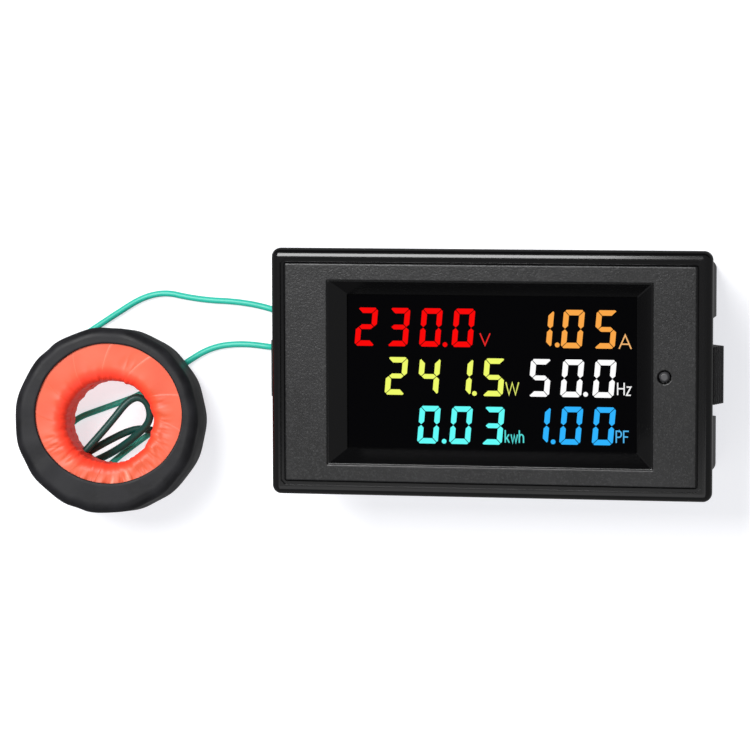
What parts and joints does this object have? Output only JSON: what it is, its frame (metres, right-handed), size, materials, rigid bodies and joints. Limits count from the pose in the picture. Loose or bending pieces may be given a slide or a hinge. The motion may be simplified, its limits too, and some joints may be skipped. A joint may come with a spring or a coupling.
{
  "type": "digital power meter",
  "caption": "Panel power meter with a colour display in a deep window, set button, snap arms and rear terminals, with a taped ring current transformer on two thin leads.",
  "frame": {"origin": "middle of the meter's flat rear face", "axes": "+X along the long side of the face towards the button, +Y towards the top of the face, +Z out of the face; the meter lies on its back"},
  "size_m": [0.1314, 0.0504, 0.025],
  "materials": {
    "black_abs": "fine spark texture",
    "housing_abs": "satin",
    "button_plastic": "satin",
    "display_glass": "clear",
    "display_film": "dark",
    "white_plastic": "satin",
    "clear_plastic": "frosted",
    "elastomer": "matt",
    "circuit_board": "solder mask",
    "chip_resin": "matt",
    "plated_metal": "plated",
    "brass_metal": "plain",
    "blue_resin": "dipped",
    "terminal_plastic": "satin",
    "ferrite": "matt",
    "copper_wire": "enamelled",
    "polyester_tape": "smooth film",
    "shrink_rubber": "soft sheen",
    "lead_insulation": "smooth",
    "sleeve_rubber": "smooth"
  },
  "bodies": {
    "meter": {"backlight_lamp_left": "white_plastic", "backlight_lamp_right": "white_plastic", "board_link_block": "chip_resin", "board_link_pins": "plated_metal", "burden_resistor": "chip_resin", "colour_film": "display_film", "contact_bar_1": "brass_metal", "contact_bar_2": "brass_metal", "contact_bar_3": "brass_metal", "contact_bar_4": "brass_metal", "contact_strip_bottom": "elastomer", "contact_strip_top": "elastomer", "crystal": "plated_metal", "display_board": "circuit_board", "display_board_screw_1": "plated_metal", "display_board_screw_2": "plated_metal", "display_board_screw_3": "plated_metal", "display_board_screw_4": "plated_metal", "display_driver_chip": "chip_resin", "display_front_glass": "display_glass", "display_front_polariser": "display_film", "display_rear_glass": "display_glass", "dropper_capacitor": "blue_resin", "ferrule_lower": "plated_metal", "ferrule_upper": "plated_metal", "front_bezel": "black_abs", "fuse_resistor": "blue_resin", "lead_lower": "lead_insulation", "lead_upper": "lead_insulation", "light_guide": "clear_plastic", "measuring_chip": "chip_resin", "power_board": "circuit_board", "power_board_screw_1": "plated_metal", "power_board_screw_2": "plated_metal", "rear_housing": "housing_abs", "rectifier": "chip_resin", "reflector_tray": "white_plastic", "shrink_band": "shrink_rubber", "sleeve_lower": "sleeve_rubber", "sleeve_upper": "sleeve_rubber", "storage_capacitor": "blue_resin", "surge_disc": "blue_resin", "switch_body": "chip_resin", "terminal_block": "terminal_plastic", "transformer_core": "ferrite", "transformer_winding": "copper_wire", "wrapping_tape": "polyester_tape"},
    "button": {"set_button": "button_plastic", "switch_plunger": "button_plastic"},
    "left_arm": {"snap_arm_left": "housing_abs"},
    "right_arm": {"snap_arm_right": "housing_abs"},
    "clamp_screw_1_body": {"clamp_screw_1": "plated_metal"},
    "clamp_cage_1_body": {"clamp_cage_1": "brass_metal"},
    "clamp_screw_2_body": {"clamp_screw_2": "plated_metal"},
    "clamp_cage_2_body": {"clamp_cage_2": "brass_metal"},
    "clamp_screw_3_body": {"clamp_screw_3": "plated_metal"},
    "clamp_cage_3_body": {"clamp_cage_3": "brass_metal"},
    "clamp_screw_4_body": {"clamp_screw_4": "plated_metal"},
    "clamp_cage_4_body": {"clamp_cage_4": "brass_metal"}
  },
  "joints": [
    {"name": "button_press", "type": "slide", "parent": "meter", "child": "button", "axis": [0, 0, -1], "range_m": [0, 0.00035], "stiffness_N_per_m": 600},
    {"name": "left_arm_flex", "type": "hinge", "parent": "meter", "child": "left_arm", "pos_m": [-0.037, 0, 0.0099], "axis": [0, 1, 0], "range_deg": [0, 20.5], "stiffness_Nm_per_rad": 0.15},
    {"name": "right_arm_flex", "type": "hinge", "parent": "meter", "child": "right_arm", "pos_m": [0.037, 0, 0.0099], "axis": [0, -1, 0], "range_deg": [0, 20.5], "stiffness_Nm_per_rad": 0.15},
    {"name": "clamp_screw_1_turn", "type": "hinge", "parent": "meter", "child": "clamp_screw_1_body", "pos_m": [-0.0314, -0.00762, 0.0015], "axis": [0, 0, -1], "range_deg": [0, 720.5]},
    {"name": "clamp_cage_1_lift", "type": "slide", "parent": "meter", "child": "clamp_cage_1_body", "axis": [0, 0, 1], "range_m": [0, 0.0009]},
    {"name": "clamp_screw_2_turn", "type": "hinge", "parent": "meter", "child": "clamp_screw_2_body", "pos_m": [-0.0314, -0.00254, 0.0015], "axis": [0, 0, -1], "range_deg": [0, 720.5]},
    {"name": "clamp_cage_2_lift", "type": "slide", "parent": "meter", "child": "clamp_cage_2_body", "axis": [0, 0, 1], "range_m": [0, 0.0009]},
    {"name": "clamp_screw_3_turn", "type": "hinge", "parent": "meter", "child": "clamp_screw_3_body", "pos_m": [-0.0314, 0.00254, 0.0015], "axis": [0, 0, -1], "range_deg": [0, 720.5]},
    {"name": "clamp_cage_3_lift", "type": "slide", "parent": "meter", "child": "clamp_cage_3_body", "axis": [0, 0, 1], "range_m": [0, 0.0009]},
    {"name": "clamp_screw_4_turn", "type": "hinge", "parent": "meter", "child": "clamp_screw_4_body", "pos_m": [-0.0314, 0.00762, 0.0015], "axis": [0, 0, -1], "range_deg": [0, 720.5]},
    {"name": "clamp_cage_4_lift", "type": "slide", "parent": "meter", "child": "clamp_cage_4_body", "axis": [0, 0, 1], "range_m": [0, 0.0009]}
  ],
  "couplings": [
    {"joint": "clamp_screw_1_turn", "follows": "clamp_cage_1_lift", "rad_per_m": 13963},
    {"joint": "clamp_screw_2_turn", "follows": "clamp_cage_2_lift", "rad_per_m": 13963},
    {"joint": "clamp_screw_3_turn", "follows": "clamp_cage_3_lift", "rad_per_m": 13963},
    {"joint": "clamp_screw_4_turn", "follows": "clamp_cage_4_lift", "rad_per_m": 13963}
  ]
}
